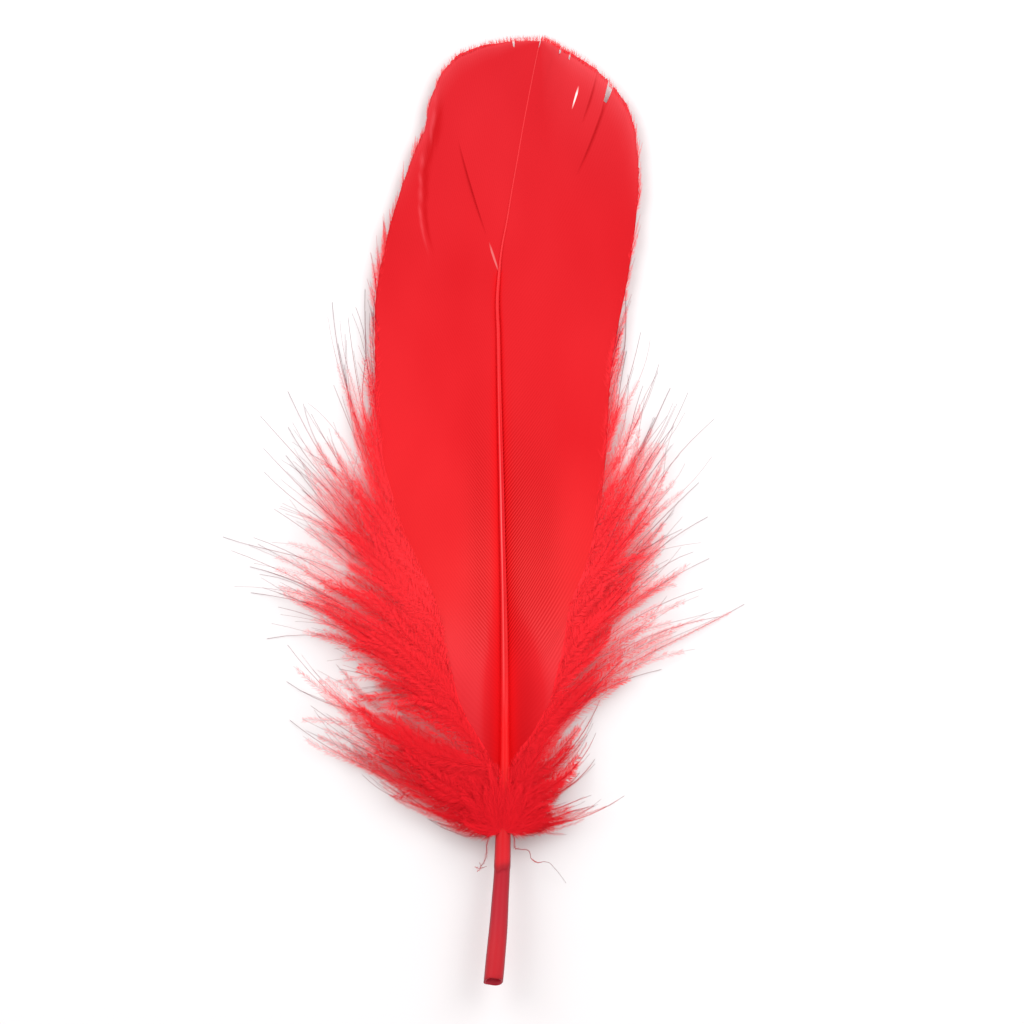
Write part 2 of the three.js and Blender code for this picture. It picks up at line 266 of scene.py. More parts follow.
rings = np.concatenate([outside, inside])
top = outside[0].mean(0)
points = np.concatenate([rings.reshape(-1, 3), top[None]])
top_faces = np.stack([
    np.full(SHAFT_SIDES, len(points) - 1),
    (np.arange(SHAFT_SIDES) + 1) % SHAFT_SIDES,
    np.arange(SHAFT_SIDES),
], -1)
faces = np.concatenate([ring_faces(len(rings), SHAFT_SIDES), top_faces])

# The marks tell the finish how far a point is along the feather, whether it is in the hollow,
# how much painted highlight it takes on the line beside the groove, and how much painted
# shade it takes on the sides of the quill.
tear = (torn_edge - SHEATH_END_Y) * np.exp(-from_end / 2)
grown = (shaft_y - tear + TIP_Y) / (2 * TIP_Y)
painted_highlight = hump(angle, PAINTED_HIGHLIGHT_AT, PAINTED_HIGHLIGHT_ANGLE) * profile(PAINTED_HIGHLIGHT)(shaft_y)
# Painted shade: the quill grows darker towards its sides, as seen from above.
painted_side_shade = np.abs(np.cos(angle)) ** 7 * np.clip((FOOT_Y + 0.5 - shaft_y) / 1.5, 0, 1)
marks = {}
for mark, on_outside, in_hollow in (
    ("grown", grown, 0),
    ("hollow", np.zeros_like(grown), 1),
    ("painted_highlight", painted_highlight, 0),
    ("painted_side_shade", painted_side_shade, 0),
):
    marks[mark] = np.concatenate([on_outside.ravel(), np.full(bore.size, in_hollow), [0]])

keratin, tree, shader = new_finish("dyed_keratin", 0.38, 0.22)
colour = shaded(tree, mark_value(tree, "grown"), [
    (0.0, dye(140, 14, 27)),
    (0.01, dye(184, 27, 38)),
    (0.04, dye(185, 30, 40)),
    (0.07, dye(176, 28, 43)),
    (0.117, dye(170, 22, 39)),
    (0.123, dye(146, 14, 29)),
    (0.13, dye(201, 22, 34)),
    (0.17, dye(198, 4, 14)),
    (0.22, dye(214, 2, 10)),
    (0.26, dye(222, 2, 10)),
    (0.3, dye(219, 14, 22)),
    (0.38, dye(214, 22, 28)),
    (0.5, dye(226, 30, 40)),
    (0.62, dye(218, 20, 28)),
    (0.78, dye(220, 34, 42)),
    (1.0, dye(214, 40, 48)),
])
blotches = shaded(tree, grown_noise(tree, 900, (1, 0.25, 1)), [
    (0.3, (0.82, 0.78, 0.78, 1)),
    (0.7, (1, 1, 1, 1)),
])
colour = laid_over(tree, colour, blotches, 0.35, "MULTIPLY")
# Painted highlight: a pale line beside the groove.
colour = laid_over(tree, colour, dye(255, 132, 132), mark_value(tree, "painted_highlight"))
# Painted shade on the sides of the quill.
colour = laid_over(tree, colour, dye(128, 14, 36), mark_value(tree, "painted_side_shade"))
colour = laid_over(tree, colour, dye(186, 30, 52), mark_value(tree, "hollow"))
tree.links.new(colour, shader.inputs["Base Color"])
add_bump(tree, shader, grown_noise(tree, 6000, (1, 0.03, 1)), 0.25, 0.03 * MM)

add_piece("shaft", points, faces, keratin, marks)

# ---- Vanes ----
# A sheet on each side of the shaft, made of some 170 parallel barbs that hook into each other. It
# is a shallow dish, toothed along its edge, and parted where barbs have come unhooked.

# A rib is a barb's root on the shaft, and X and Y of its end.
LEFT_RIBS = [(-45, 0, -43.5), (-42, -2.7, -38.6), (-39, -5.3, -31.8), (-36, -7.2, -22.8)]
LEFT_RIBS += [(-33, -9.4, -15), (-30, -13, -7), (-27, -17, 4.5), (-23, -18.4, 13)]
LEFT_RIBS += [(-16, -18.8, 24), (-10, -18.8, 31), (-4, -18.6, 36.8), (6, -17.2, 44.5)]
LEFT_RIBS += [(13, -15.5, 51.2), (20, -13.2, 58), (25, -11.8, 61.7), (29, -10.3, 65)]
LEFT_RIBS += [(33, -9.8, 68.4), (37.5, -8.5, 72), (43, -6.5, 75.6), (50, -2.8, 78.2)]
LEFT_RIBS += [(60, 2.2, 79.4), (70, 5.8, 79.8), (78.5, 9.2, 79.8)]
RIGHT_RIBS = [(-45.5, 5, -44), (-43, 7.5, -40.6), (-41, 10.2, -36), (-39, 12.4, -28.6)]
RIGHT_RIBS += [(-36.5, 14, -21.9), (-34, 15.2, -15.4), (-31, 17.6, -9), (-28, 19.3, 0)]
RIGHT_RIBS += [(-22.5, 20.6, 13.5), (-16, 21.1, 22.3), (-9, 22.2, 29.9), (-3, 23.7, 37.6)]
RIGHT_RIBS += [(3, 24.8, 44.4), (9.5, 25.6, 51.2), (15, 25.9, 56.4), (20, 25.6, 61.6)]
RIGHT_RIBS += [(26, 24.7, 66.7), (30.5, 23.1, 70), (36, 20.3, 73.4), (44, 16.6, 76.4)]
RIGHT_RIBS += [(54, 13.2, 78.3), (66, 11.2, 79.3), (78.5, 9.3, 79.9)]

# Tables for both vanes have -1 for the left and 1 for the right.
BOW = {-1: [(-45, 0.088), (20, 0.088), (40, 0.03), (79, 0.03)], 1: [(-45, 0.088), (79, 0.088)]}
# Widths of the painted shade strips beside the shaft at the foot of each vane.
DARK_STRIP = {-1: [(-46, 3), (-32, 3.4), (-22, 2.4), (-12, 1.5)]}
DARK_STRIP[1] = [(-46, 5), (-36, 6.2), (-26, 5.8), (-16, 2.5)]
BARB_SPACING = 0.7
ROWS_PER_BARB = 4
VANE_STEPS = 27
VANE_DISH = 1.7
VANE_REACH = 22
VANE_RAGGED = [(20, 0.6), (45, 0.6), (68, 1.2), (79, 4)]
SHEET_THICKNESS = 0.14
SHEET_LEAST = 0.1
SHEET_CLEAR = 0.03
# Painted shade: a saturated dark band on both sides of the shaft. Its width along Y, and the Y where it
# stops.
SHAFT_SIDE_SHADE = [(-30, 1.7), (0, 1.3), (30, 0.5)]
SHAFT_SIDE_SHADE_TOP_Y = 40
FOLD = [(44, -9.4), (49, -10.5), (54, -10.6), (60, -10.2), (64, -8.9), (70, -8)]
FOLD_DARK = [(44, 0.3), (54, 0.35), (60, 0.6), (70, 0.5)]
FOLD_RISE = 0.35

# Where barbs have come unhooked: root on the shaft, stretch of the barb, gap and lift.
LEFT_SPLITS = [
    (40.2, 0.02, 0.15, 0.55, 0.1),
    (40.2, 0.2, 0.66, 0.04, 0.4),
    (66, 0.9, 1.2, 0.6, 0),
    (52, 0.94, 1.2, 0.3, 0),
    (45.5, 0.94, 1.2, 0.3, 0),
]
RIGHT_SPLITS = [
    (34.4, 0.62, 1.0, 0.04, 0.45),
    (34.4, 0.89, 1.2, 1.2, 0.1),
    (38.3, 0.78, 0.98, 0.04, 0.35),
    (43.1, 0.8, 0.86, 0.3, 0.1),
    (49.5, 0.92, 1.2, 0.4, 0),
    (56, 0.92, 1.2, 0.45, 0),
    (0.5, 0.31, 0.333, 0.14, 0.15),
]

# A split narrower than a hairline stays closed and only gets a painted shadow line. Small nicks
# stand along the upper edge.
HAIRLINE = 0.1
NICKS = 8
NICK = (0.955, 1.2, 0.3, 0)

chance = np.random.default_rng(7)


def falls(position, place, width):
    """A soft step, from 1 well before a place to 0 well past it."""
    return 1 / (1 + np.exp((position - place) / width))


def vane_z(x, y):
    """The height of the sheet, which dips to the shaft and rises to both edges."""
    root = shaft_z(y) - 0.1 - 0.3 * shaft_half_width(y)
    return root + VANE_DISH * np.minimum(np.abs(x - shaft_x(y)) / VANE_REACH, 1.3) ** 2


def barbs_of(ribs, side, roots, reach):
    """Points in the plane along the barbs with these roots, at shares of their length."""
    at, edge_x, edge_y = np.array(ribs, float).T
    start = np.stack([shaft_x(roots), roots], -1)
    end = np.stack([
        profile(list(zip(at, edge_x)))(roots),
        profile(list(zip(at, edge_y)))(roots),
    ], -1)
    run = end - start
    bow = profile(BOW[side])(roots)[:, None] * side
    middle = (start + end) / 2 + bow * np.stack([run[:, 1], -run[:, 0]], -1)
    t = reach[..., None] if reach.ndim == 2 else reach[None, :, None]
    start, middle, end = (point[:, None] for point in (start, middle, end))
    return (1 - t) ** 2 * start + 2 * t * (1 - t) * middle + t**2 * end


def sheet_faces(kept, rows, columns):
    """Closed faces for an upper and a lower grid of points, over the cells that are kept."""
    grid = np.arange(rows * columns).reshape(rows, columns)
    below = grid + rows * columns
    a, b, c, d = grid[:-1, :-1], grid[:-1, 1:], grid[1:, 1:], grid[1:, :-1]
    e, f, g, h = below[:-1, :-1], below[:-1, 1:], below[1:, 1:], below[1:, :-1]
    faces = [quads(a[kept], b[kept], c[kept], d[kept]), quads(e[kept], h[kept], g[kept], f[kept])]
    padded = np.pad(kept, 1)
    core = padded[1:-1, 1:-1]
    for side, near, far in (
        (padded[:-2, 1:-1], (a, b), (e, f)),
        (padded[2:, 1:-1], (c, d), (g, h)),
        (padded[1:-1, :-2], (d, a), (h, e)),
        (padded[1:-1, 2:], (b, c), (f, g)),
    ):
        rim = core & ~side
        faces.append(quads(near[1][rim], near[0][rim], far[0][rim], far[1][rim]))
    return np.concatenate(faces)


def barb_rows(ribs, side):
    """The barbs of a vane in its plane, the share of their length at each step, and their crests."""
    first = ribs[0][0]
    last = ribs[-1][0]
    barbs = int((last - first) / BARB_SPACING)
    rows = barbs * ROWS_PER_BARB + 1
    roots = np.linspace(first, last, rows)
    phase = np.arange(rows) % ROWS_PER_BARB / ROWS_PER_BARB
    crest = np.sin(np.pi * phase)
    longer = np.repeat(chance.normal(0, 1, barbs + 1), ROWS_PER_BARB)[:rows]
    teeth = 1 + profile(VANE_RAGGED)(roots) * (0.003 * longer + 0.004 * (crest - 0.6))
    shares = np.linspace(0, 1, VANE_STEPS)[None] * teeth[:, None]
    return barbs_of(ribs, side, roots, shares), shares, crest[:, None]


def part_barbs(flat, shares, splits, first, side):
    """Moves barbs apart at the splits. Returns the lift, painted shadow lines, pale spots and cells
    kept.
    """
    across = np.gradient(flat, axis=0)
    across /= np.linalg.norm(across, axis=-1, keepdims=True) + 1e-9
    rows, steps = shares.shape
    kept = np.ones((rows - 1, steps - 1), bool)
    lift, shadow_lines, pale = np.zeros((3, rows, steps))
    for root, from_share, to_share, gap, rise in splits:
        row = int(round((root - first) / BARB_SPACING)) * ROWS_PER_BARB
        t = (shares[row] - from_share) / (to_share - from_share)
        leaf = np.sin(np.pi * np.clip(t, 0, 1)) ** 0.8
        away = np.arange(rows)[:, None] - row + 0.5
        push = np.sign(away) * np.exp(-np.abs(away) / 10)
        flat += across * (push * leaf * gap / 2)[..., None]
        lift += np.where(away > 0, np.exp(-away / 22), 0) * leaf * rise
        if gap < HAIRLINE:
            shadow_lines += leaf * hump(away, -1, 1.6)
        if to_share > 1:
            open_here = leaf * gap > 0.12
            kept[row - 1] &= ~(open_here[1:] & open_here[:-1])
        elif gap > HAIRLINE:
            pale += (leaf > 0.1) * (np.abs(away) < 0.7) * (1 if side > 0 else 0.17)
    return lift, shadow_lines, pale, kept


def lining(from_shaft, y, side):
    """How much the single barbs stand out as lines, which they do near the shaft."""
    if side < 0:
        lined = 0.6 * hump(from_shaft, 3.6, 2.4)
    else:
        lined = hump(from_shaft, 0, 5.5) + 0.4 * hump(from_shaft, 7.5, 3)
    return lined * falls(y, 12, 5) * rises(y, -25, 2)


def folded(x, y):
    """The fold along the left edge: its rise, its painted shadow line and the painted highlight beside
    it.
    """
    beyond = profile(FOLD)(y) - x
    here = rises(y, 46, 1) * falls(y, 69, 1)
    rise = FOLD_RISE * here * rises(beyond, 0, 0.15)
    dark = 1.3 * here * hump(beyond, -0.4, profile(FOLD_DARK)(y))
    light = 0.5 * here * hump(beyond, 0.5, 0.2)
    return rise, dark, light


def toned(from_shaft, shares, y, side):
    """Lighter or darker than the dye: painted light and shade at the foot, with pale panels lit through
    the thin sheet and dark strips beside the shaft, and thin pale barbs at the tip.
    """
    strip = np.exp(-((from_shaft / profile(DARK_STRIP[side])(y)) ** 4))
    tone = falls(y, -19, 2.5) * (0.23 - 0.66 * strip)
    tone += 0.42 * np.clip((shares - 0.86) / 0.14, 0, 1) ** 2 * np.clip((y - 50) / 16, 0, 1)
    if side > 0:
        tone += 0.15 * np.clip(shares * 2 - 1, 0, 1) * np.clip((y - 50) / 20, 0, 1)
    return tone


def vane(ribs, side, splits):
    """Points, faces and marks of one vane."""
    flat, shares, crest = barb_rows(ribs, side)
    splits = splits + [(root, *NICK) for root in chance.uniform(50, 76, NICKS)]
    lift, shadow_lines, pale, kept = part_barbs(flat, shares, splits, ribs[0][0], side)
    x, y = np.moveaxis(flat, -1, 0)
    from_shaft = np.abs(x - shaft_x(y))
    lined = lining(from_shaft, y, side)
    z = vane_z(x, y) + lift + (0.03 + 0.13 * lined) * crest
    # The sheet is a little wavy, more so away from the shaft.
    z += 0.12 * np.sin(x / 3.1 + y / 9) * np.sin(y / 7.3) * np.minimum(from_shaft / 8, 1)
    # The tone holds a painted highlight on the barb crests near the shaft, plus the painted light and
    # shade from toned and folded.
    tone = 0.5 + 0.16 * lined * crest + toned(from_shaft, shares, y, side)
    if side < 0:
        rise, dark, light = folded(x, y)
        z += rise
        shadow_lines += dark
        tone += light

    upper = np.stack([x, y, z], -1)
    lower = upper - [0, 0, SHEET_THICKNESS]
    lower[..., 2] = np.maximum(lower[..., 2], SHEET_CLEAR)
    upper[..., 2] = np.maximum(upper[..., 2], lower[..., 2] + SHEET_LEAST)
    points = np.concatenate([upper.reshape(-1, 3), lower.reshape(-1, 3)])
    faces = sheet_faces(kept, *shares.shape)
    if side > 0:
        faces = faces[:, ::-1]
    # Painted shade in the valleys between barbs, and painted shadow lines along closed splits and the
    # fold.
    painted_valley_shade = (1 - crest) ** 0.45 * (0.1 + 0.9 * lined) + 0.5 * np.minimum(shadow_lines, 1)
    # Painted shade along both sides of the shaft, below its top Y.
    shaft_side_shade = hump(from_shaft, 0, profile(SHAFT_SIDE_SHADE)(y)) * (y < SHAFT_SIDE_SHADE_TOP_Y)
    marks = {"painted_valley_shade": painted_valley_shade, "tone": tone, "pale": np.minimum(pale, 1), "shaft_side_shade": shaft_side_shade}
    return points, faces, {name: np.tile(values.ravel(), 2) for name, values in marks.items()}


def share_along(tree, low_y, high_y):
    """How far a point is on the way from one Y to another, 0 to 1."""
    place = tree.nodes.new("ShaderNodeTexCoord")
    axes = tree.nodes.new("ShaderNodeSeparateXYZ")
    share = tree.nodes.new("ShaderNodeMapRange")
    share.inputs["From Min"].default_value = low_y * MM
    share.inputs["From Max"].default_value = high_y * MM
    tree.links.new(place.outputs["Object"], axes.inputs["Vector"])
    tree.links.new(axes.outputs["Y"], share.inputs["Value"])
    return share.outputs["Result"]


hooked, tree, shader = new_finish("hooked_barbs", 0.6, 0.04)
colour = shaded(tree, share_along(tree, -56, 80), [
    (0.0, dye(183, 20, 31)),
    (0.12, dye(194, 25, 33)),
    (0.22, dye(211, 35, 42)),
    (0.34, dye(217, 43, 46)),
    (0.5, dye(211, 34, 40)),
    (0.72, dye(204, 32, 39)),
    (1.0, dye(200, 37, 45)),
])
clouds = shaded(tree, grown_noise(tree, 55, (1, 0.5, 1), 2), [
    (0.35, (0.93, 0.7, 0.75, 1)),
    (0.65, (1, 1, 1, 1)),
])
# The tone mark carries painted light and shade (lit barb crests, pale panels, dark strips and the
# fold's highlight) as well as the pale tips.
tones = shaded(tree, mark_value(tree, "tone"), [
    (0.0, (0.84, 0.3, 0.4, 1)),
    (0.5, (1, 1, 1, 1)),
    (1.0, (1.12, 3.6, 3, 1)),
])
colour = laid_over(tree, colour, clouds, 1, "MULTIPLY")
colour = laid_over(tree, colour, tones, 1, "MULTIPLY")
# Painted shade along both sides of the shaft.
colour = laid_over(tree, colour, dye(226, 6, 12), mark_value(tree, "shaft_side_shade"))
# Painted shade: dark valleys between barbs, and shadow lines at the splits and the fold.
colour = laid_over(tree, colour, dye(176, 1, 6), mark_value(tree, "painted_valley_shade"))
colour = laid_over(tree, colour, dye(255, 224, 220), mark_value(tree, "pale"))
tree.links.new(colour, shader.inputs["Base Color"])
add_bump(tree, shader, grown_noise(tree, 5000, (1, 1, 1), 2), 0.15, 0.02 * MM)

for name, ribs, side, splits in (
    ("left_vane", LEFT_RIBS, -1, LEFT_SPLITS),
    ("right_vane", RIGHT_RIBS, 1, RIGHT_SPLITS),
):
    points, faces, marks = vane(ribs, side, splits)
    add_piece(name, points, faces, hooked, marks)

# ---- Loose barb ends along the vanes ----
# Past the hooked part each barb runs on as a bare hair. They are short round the tip, and long
# and combed upwards along the lower half, where they lead over into the down.

HAIR_SIDES = 3
HAIR_STEPS = 9
HAIR_CLEAR = 0.02
BLADE_TOP_Z = 8.3
FRINGE_ROOTS = (-25, 78)
FRINGE_STEP = 0.1
FRINGE_LENGTH = [(8, 9), (24, 9), (34, 8), (46, 6), (60, 3.5), (72, 1.3), (80, 0.6)]
FRINGE_SPREAD = [(8, 0.2), (30, 0.14), (46, 0.07), (64, 0.05), (74, 0.08), (80, 0.02)]
FRINGE_BARE = [(-12, 0.1), (6, 0.25), (20, 0.75), (30, 0.75), (44, 0.45), (56, 0.25), (80, 0.1)]
FRINGE_FLUFF = [(8, 2.2), (24, 1.8), (36, 1.1), (50, 0.8), (64, 0.5), (72, 0.3)]
FRINGE_GAP = [(-25, 1.3), (0, 1.1), (16, 1.1), (24, 0.6), (34, 0.45), (44, 0.3), (80, 0.3)]


def hair_tubes(paths, thickness):
    """Thin tubes along paths (hair, step, xyz), each with its thickness at every step."""
    run = np.gradient(paths, axis=1)
    run /= np.linalg.norm(run, axis=-1, keepdims=True) + 1e-12
    flat = np.cross(run, (0, 0, 1.0))
    flat /= np.linalg.norm(flat, axis=-1, keepdims=True) + 1e-12
    stand = np.cross(flat, run)
    turn = np.arange(HAIR_SIDES) * 2 * np.pi / HAIR_SIDES + np.pi / 2
    around = flat[:, :, None] * np.cos(turn)[:, None] + stand[:, :, None] * np.sin(turn)[:, None]
    rings = paths[:, :, None] + around * (thickness / 2)[..., None, None]
    hairs, steps = paths.shape[:2]
    per_hair = steps * HAIR_SIDES
    faces = ring_faces(steps, HAIR_SIDES)
    caps = np.array([[0, 2, 1], [per_hair - 3, per_hair - 2, per_hair - 1]])
    faces = np.concatenate([faces, caps])
    faces = (faces[None] + (np.arange(hairs) * per_hair)[:, None, None]).reshape(-1, 3)
    points = rings.reshape(-1, 3)
    points[:, 2] = np.maximum(points[:, 2], HAIR_CLEAR)
    return points, faces


def barbules(paths, fluffy, spacing, long, broad):
    """Fine curved blades on both sides of each barb, shorter towards its bare end."""
    steps = paths.shape[1]
    length = np.linalg.norm(np.diff(paths, axis=1), axis=-1).sum(1) * fluffy
    count = (length / spacing).astype(int)
    barb = np.repeat(np.arange(len(paths)), count)
    blades = len(barb)
    first = np.concatenate([[0], np.cumsum(count)[:-1]])
    order = np.arange(blades) - np.repeat(first, count)
    share = (order + chance.uniform(0, 1, blades)) / count[barb]

    place = share * fluffy[barb] * (steps - 1)
    i = np.minimum(place.astype(int), steps - 2)
    part = (place - i)[:, None]
    base = paths[barb, i] * (1 - part) + paths[barb, i + 1] * part
    run = paths[barb, i + 1] - paths[barb, i]
    run /= np.linalg.norm(run, axis=-1, keepdims=True) + 1e-12
    out = np.cross(run, (0, 0, 1.0))
    out /= np.linalg.norm(out, axis=-1, keepdims=True) + 1e-12
    out *= chance.choice([-1.0, 1.0], blades)[:, None]
    up = chance.normal(0, 0.16, blades)[:, None] * [0, 0, 1.0]
    lean = chance.uniform(0.5, 1.35, blades)[:, None]
    way = run * np.cos(lean) + out * np.sin(lean) + up

    blade = long[barb] * (1 - 0.7 * share**1.5) * chance.uniform(0.5, 1.25, blades)
    blade *= 0.35 + 0.65 * np.minimum(share / 0.16, 1)
    middle = base + way * blade[:, None] * 0.45
    tip = middle + (way * 0.75 + run * 0.4) * blade[:, None] * 0.55
    across = np.cross(way, np.array([0, 0, 1.0]) + chance.normal(0, 0.12, (blades, 3)))
    across /= np.linalg.norm(across, axis=-1, keepdims=True) + 1e-12
    half = across * broad[barb, None] / 2
    points = np.stack([base, middle + half, middle - half, tip], 1)
    points[..., 2] = np.clip(points[..., 2], HAIR_CLEAR, BLADE_TOP_Z)
    corners = np.array([[0, 1, 2], [1, 3, 2]])
    faces = (corners[None] + (np.arange(blades) * 4)[:, None, None]).reshape(-1, 3)
    return points.reshape(-1, 3), faces, np.repeat(0.1 * share, 4)


def soft_finish(name, tip_colour):
    """Soft dyed keratin, deeper in tone at the foot, that turns to a bare, darker hair."""
    material, tree, shader = new_finish(name, 0.7, 0.1)
    colour = shaded(tree, mark_value(tree, "bare"), [
        (0.0, dye(255, 58, 66)),
        (0.3, dye(238, 30, 48)),
        (0.6, dye(172, 34, 56)),
        (1.0, tip_colour),
    ])
    deeper = shaded(tree, share_along(tree, -52, -12), [
        (0, (0.8, 0.22, 0.36, 1)),
        (0.5, (0.92, 0.5, 0.6, 1)),
        (1, (1, 1, 1, 1)),
    ])
    colour = laid_over(tree, colour, deeper, 1, "MULTIPLY")
    tree.links.new(colour, shader.inputs["Base Color"])
    rough = tree.nodes.new("ShaderNodeMapRange")
    rough.inputs["To Min"].default_value = 0.6
    rough.inputs["To Max"].default_value = 0.8
    tree.links.new(grown_noise(tree, 3000, (1, 1, 1), 2), rough.inputs["Value"])
    tree.links.new(rough.outputs["Result"], shader.inputs["Roughness"])
    return material


def fringe(ribs, side):
    """Hairs that carry on from the ends of the barbs."""
    roots = np.arange(*FRINGE_ROOTS, FRINGE_STEP)
    gaps = profile(FRINGE_GAP)(roots)
    roots = roots[chance.uniform(0, 1, len(roots)) < FRINGE_STEP / gaps]
    count = len(roots)
    before, start, end = np.moveaxis(barbs_of(ribs, side, roots, np.array([0.94, 0.985, 1.0])), 1, 0)
    run = end - before
    run /= np.linalg.norm(run, axis=-1, keepdims=True)
    rim = np.gradient(end, axis=0)
    rim /= np.linalg.norm(rim, axis=-1, keepdims=True)
    edge_y = end[:, 1]
    along_rim = np.clip((76 - edge_y) / 12, 0, 0.6)[:, None]
    run = run * (1 - along_rim) + rim * along_rim
    out = np.stack([run[:, 1], -run[:, 0]], -1) * side

    length = profile(FRINGE_LENGTH)(edge_y) * chance.uniform(0.3, 1.15, count) + 0.5
    spread = profile(FRINGE_SPREAD)(edge_y) * chance.uniform(-0.4, 1.6, count)
    t = np.linspace(0, 1, HAIR_STEPS)[None, :, None]
    wobble = chance.normal(0, 0.05, (count, 1, 1)) * np.sin(t * 5)
    paths = start[:, None] + run[:, None] * length[:, None, None] * t
    paths = paths + out[:, None] * (length * spread)[:, None, None] * t**1.5
    paths = paths + out[:, None] * wobble
    z = vane_z(paths[..., 0], paths[..., 1]) + chance.normal(0, 0.15, (count, 1)) * t[..., 0]
    paths = np.concatenate([paths, z[..., None]], -1)

    thickness = np.linspace(0.12, 0.04, HAIR_STEPS) * np.clip(length / 4, 0.5, 1)[:, None]
    bare = profile(FRINGE_BARE)(edge_y)[:, None] * (0.3 + 0.7 * t[..., 0])
    hairs, hair_faces = hair_tubes(paths, thickness)
    fluffy, spacing, broad = (np.full(count, value) for value in (0.75, 0.06, 0.03))
    fluff, fluff_faces, shade = barbules(paths, fluffy, spacing, profile(FRINGE_FLUFF)(edge_y), broad)
    points = np.concatenate([hairs, fluff])
    faces = np.concatenate([hair_faces, fluff_faces + len(hairs)])
    return points, faces, {"bare": np.concatenate([np.repeat(bare.ravel(), HAIR_SIDES), shade])}


hair = soft_finish("bare_hair", dye(104, 52, 66))
for name, ribs, side in (("left_fringe", LEFT_RIBS, -1), ("right_fringe", RIGHT_RIBS, 1)):
    points, faces, marks = fringe(ribs, side)
    add_piece(name, points, faces, hair, marks)

# ---- Down ----
# Locks of loose barbs round the foot of the feather. Each barb is a soft thread that carries fine
# barbules on both sides and ends in a bare hair. The low locks lie on the table and bear the foot.

# The skirt is X and Y of the line that the locks grow from, from the highest to the lowest.
LEFT_SKIRT = [(-17.2, 9), (-16.2, 2), (-12.6, -8), (-9, -16), (-7, -24), (-4.6, -32)]
LEFT_SKIRT += [(-1.6, -39), (1.6, -45), (2.3, -50), (2.4, -54)]
RIGHT_SKIRT = [(18.6, 9), (18.2, 2), (16.2, -8), (13.6, -16), (12, -24), (9.6, -32)]
RIGHT_SKIRT += [(5, -44), (4, -48), (3.6, -51), (3.4, -54)]

# A lock is X, Y and Z of its tip, its bow as a share of its length, and its width.
LEFT_LOCKS = [
    (-18.9, 39.5, 1.8, 0.05, 1.1), (-20.6, 37.7, 0.1, 0.07, 1.4), (-22, 34.6, 2.6, 0.08, 1.4),
    (-26.3, 35.5, 0.1, 0.09, 1.3), (-23.5, 32.8, 3.4, 0.06, 1.8), (-25.3, 28.4, 0.1, 0.08, 2.7),
    (-25.9, 21.4, 2.8, 0.05, 3.3), (-33.9, 20.2, 0.1, 0.1, 1.6), (-29.6, 16.4, 4, 0.04, 3.6),
    (-38.4, 16, 2.2, 0.06, 1.8), (-33.5, 14.4, 0.1, 0.05, 3.9), (-37.7, 10.6, 3.4, 0.04, 3.3),
    (-34.3, 9.2, 0.1, 0.03, 4.5), (-37.2, 7, 4.4, -0.03, 3.9), (-31, 3.8, 0.1, -0.04, 5.1),
    (-36, 0.4, 3.2, -0.07, 4.5), (-43.5, -2.5, 0.1, -0.1, 3.3), (-39.4, -4.6, 4.6, -0.12, 4.8),
    (-43.4, -7, 2.4, -0.14, 3.6), (-40.3, -9.7, 0.1, -0.16, 4.8), (-37.4, -9.9, 5, -0.17, 4.8),
    (-39.6, -13.3, 0.1, -0.18, 4.5), (-35.7, -17, 3.8, -0.2, 5.1), (-37.6, -22.4, 0.1, -0.38, 3.3),
    (-24.8, -26.6, 3, -0.22, 6.3), (-33.8, -23, 5, 0.2, 3.9), (-33.5, -28.2, 0.1, -0.04, 3.9),
    (-29.7, -33, 3.6, 0.14, 4.8), (-33.3, -35.5, 0.1, 0.17, 3.9), (-25.5, -37.4, 4.4, 0.1, 4.5),
    (-23.3, -40.5, 0.1, 0.16, 4.2), (-20.9, -44.5, 3, 0.22, 3.9), (-15, -47.6, 0.1, 0.18, 3.6),
    (-9.9, -52.2, 2.4, 0.14, 1.8),
]
RIGHT_LOCKS = [
    (24.4, 37.4, 0.1, 0.05, 1), (26.2, 30.3, 2.4, 0.06, 1.4), (24, 27.2, 0.1, 0.05, 2.7),
    (29.4, 25, 3, 0.07, 1.4), (31.8, 20.6, 0.1, 0.07, 1.6), (27.4, 20.9, 4, 0.04, 3),
    (34.3, 20.2, 2.4, 0.06, 1.4), (29.6, 15.5, 0.1, 0.03, 3.9), (31.8, 14.5, 3.6, 0.04, 3.9),
    (38.4, 16, 1.8, 0.06, 1.6), (31, 4, 4.4, -0.05, 4.8), (36.2, 4.8, 0.1, -0.04, 3.6),
    (32.8, -2.7, 2.8, -0.1, 5.4), (38.4, -1.7, 0.1, -0.08, 3.3), (35.7, -7.6, 4.6, -0.15, 5.1),
    (37.9, -8, 0.1, -0.14, 3.9), (36.7, -13.1, 3.2, -0.2, 4.5), (43.5, -15.3, 0.1, -0.08, 2.7),
    (39.6, -17.7, 2.6, -0.24, 3.6), (29.8, -26.9, 0.1, -0.24, 1.8), (22.6, -25.4, 4.2, -0.02, 5.4),
    (19.4, -32, 0.1, 0.2, 3.3), (18.5, -37.4, 3.4, 0.32, 3.3), (18.5, -42.2, 0.1, 0.26, 3.6),
    (17.9, -48.3, 3.6, 0.12, 3.6), (18.5, -50, 0.1, 0.16, 3), (23.5, -48.3, 2.4, 0.2, 1.6),
    (15, -52.2, 0.1, 0.04, 1.8),
]
# Between some locks the barbs are short: place among the locks and greatest share of length.
SHORT_BARBS = {-1: [(22.5, 1), (22.7, 0.6), (24.8, 0.6), (25, 1)]}
SHORT_BARBS[1] = [(17.8, 1), (18, 0.55), (19.8, 0.6), (20, 0.9), (20.4, 0.75), (20.9, 0.6), (21.1, 1)]

